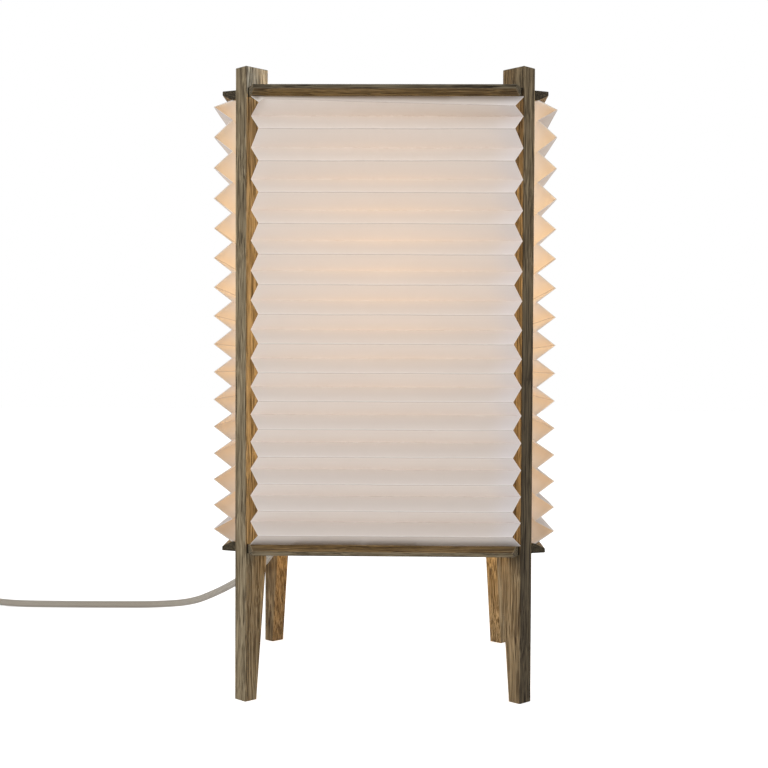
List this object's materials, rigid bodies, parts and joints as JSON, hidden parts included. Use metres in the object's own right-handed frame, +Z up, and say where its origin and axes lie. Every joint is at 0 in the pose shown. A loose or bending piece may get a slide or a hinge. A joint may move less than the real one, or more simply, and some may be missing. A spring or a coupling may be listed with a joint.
{
  "type": "pleated paper table lamp",
  "caption": "Square table lamp: tapered wooden posts set diagonally, bevelled rails above and below pleated paper panels, globe bulb inside, textile cord with rocker switch and plug.",
  "frame": {"origin": "centre of the lamp's footprint on the surface that it stands on", "axes": "+Z up, +X to the right and -Y towards the viewer as in the picture"},
  "size_m": [0.7371, 0.4932, 0.48],
  "materials": {
    "smoked_oak": "smoked grey-brown oak, fine straight grain, matt oil",
    "pleated_paper": "off-white lamp paper, matt, light passes through it",
    "brass": "turned brass",
    "steel_screw": "zinc-plated steel",
    "holder_plastic": "moulded heat-proof plastic, matt",
    "ceramic": "glazed ceramic",
    "opal_glass": "opal glass, satin",
    "bulb_plastic": "white moulded plastic",
    "nickel_cap": "nickel-plated",
    "black_insulator": "black moulded plastic",
    "light_board": "white-coated aluminium board",
    "textile_cord": "beige-grey braided textile over a round cable",
    "wire_insulation": "core insulation",
    "grip_rubber": "soft moulded sleeve, matt",
    "rocker_plastic": "moulded plastic, matt",
    "cord_fitting_plastic": "moulded plastic, matt"
  },
  "bodies": {
    "lamp": {"bar_dowels": "smoked_oak", "bottom_rail_front": "smoked_oak", "bottom_rail_left": "smoked_oak", "bottom_rail_rear": "smoked_oak", "bottom_rail_right": "smoked_oak", "coil_lead": "textile_cord", "cord_coil": "textile_cord", "cord_entry": "textile_cord", "cord_grip": "grip_rubber", "corner_dowels": "smoked_oak", "holder_cap": "holder_plastic", "holder_centre_contact": "brass", "holder_insert": "ceramic", "holder_screw_shell": "brass", "holder_skirt": "holder_plastic", "inner_wires": "wire_insulation", "lampholder_bar": "smoked_oak", "paper_panel_front": "pleated_paper", "paper_panel_left": "pleated_paper", "paper_panel_rear": "pleated_paper", "paper_panel_right": "pleated_paper", "plug_body": "cord_fitting_plastic", "plug_lead": "textile_cord", "plug_pin_sleeves": "black_insulator", "plug_pins": "brass", "post_front_left": "smoked_oak", "post_front_right": "smoked_oak", "post_rear_left": "smoked_oak", "post_rear_right": "smoked_oak", "stem_nut_lower": "brass", "stem_nut_upper": "brass", "stem_tube": "brass", "stem_washer": "brass", "supply_cord": "textile_cord", "switch_base": "cord_fitting_plastic", "switch_cover": "cord_fitting_plastic", "switch_screws": "steel_screw", "top_rail_front": "smoked_oak", "top_rail_left": "smoked_oak", "top_rail_rear": "smoked_oak", "top_rail_right": "smoked_oak", "wiring_cup": "brass", "wiring_cup_screws": "steel_screw"},
    "bulb": {"bulb_collar": "bulb_plastic", "bulb_globe": "opal_glass", "bulb_insulator": "black_insulator", "bulb_light_board": "light_board", "bulb_screw_cap": "nickel_cap", "bulb_tip_contact": "nickel_cap"},
    "rocker": {"switch_rocker": "rocker_plastic"}
  },
  "joints": [
    {"name": "bulb_unscrew", "type": "slide", "parent": "lamp", "child": "bulb", "axis": [0, 0, 1], "range_m": [0, 0.0145]},
    {"name": "switch_rock", "type": "hinge", "parent": "lamp", "child": "rocker", "pos_m": [-0.483, 0.256, 0.0125], "axis": [0, 1, 0], "range_deg": [0, 16]}
  ]
}
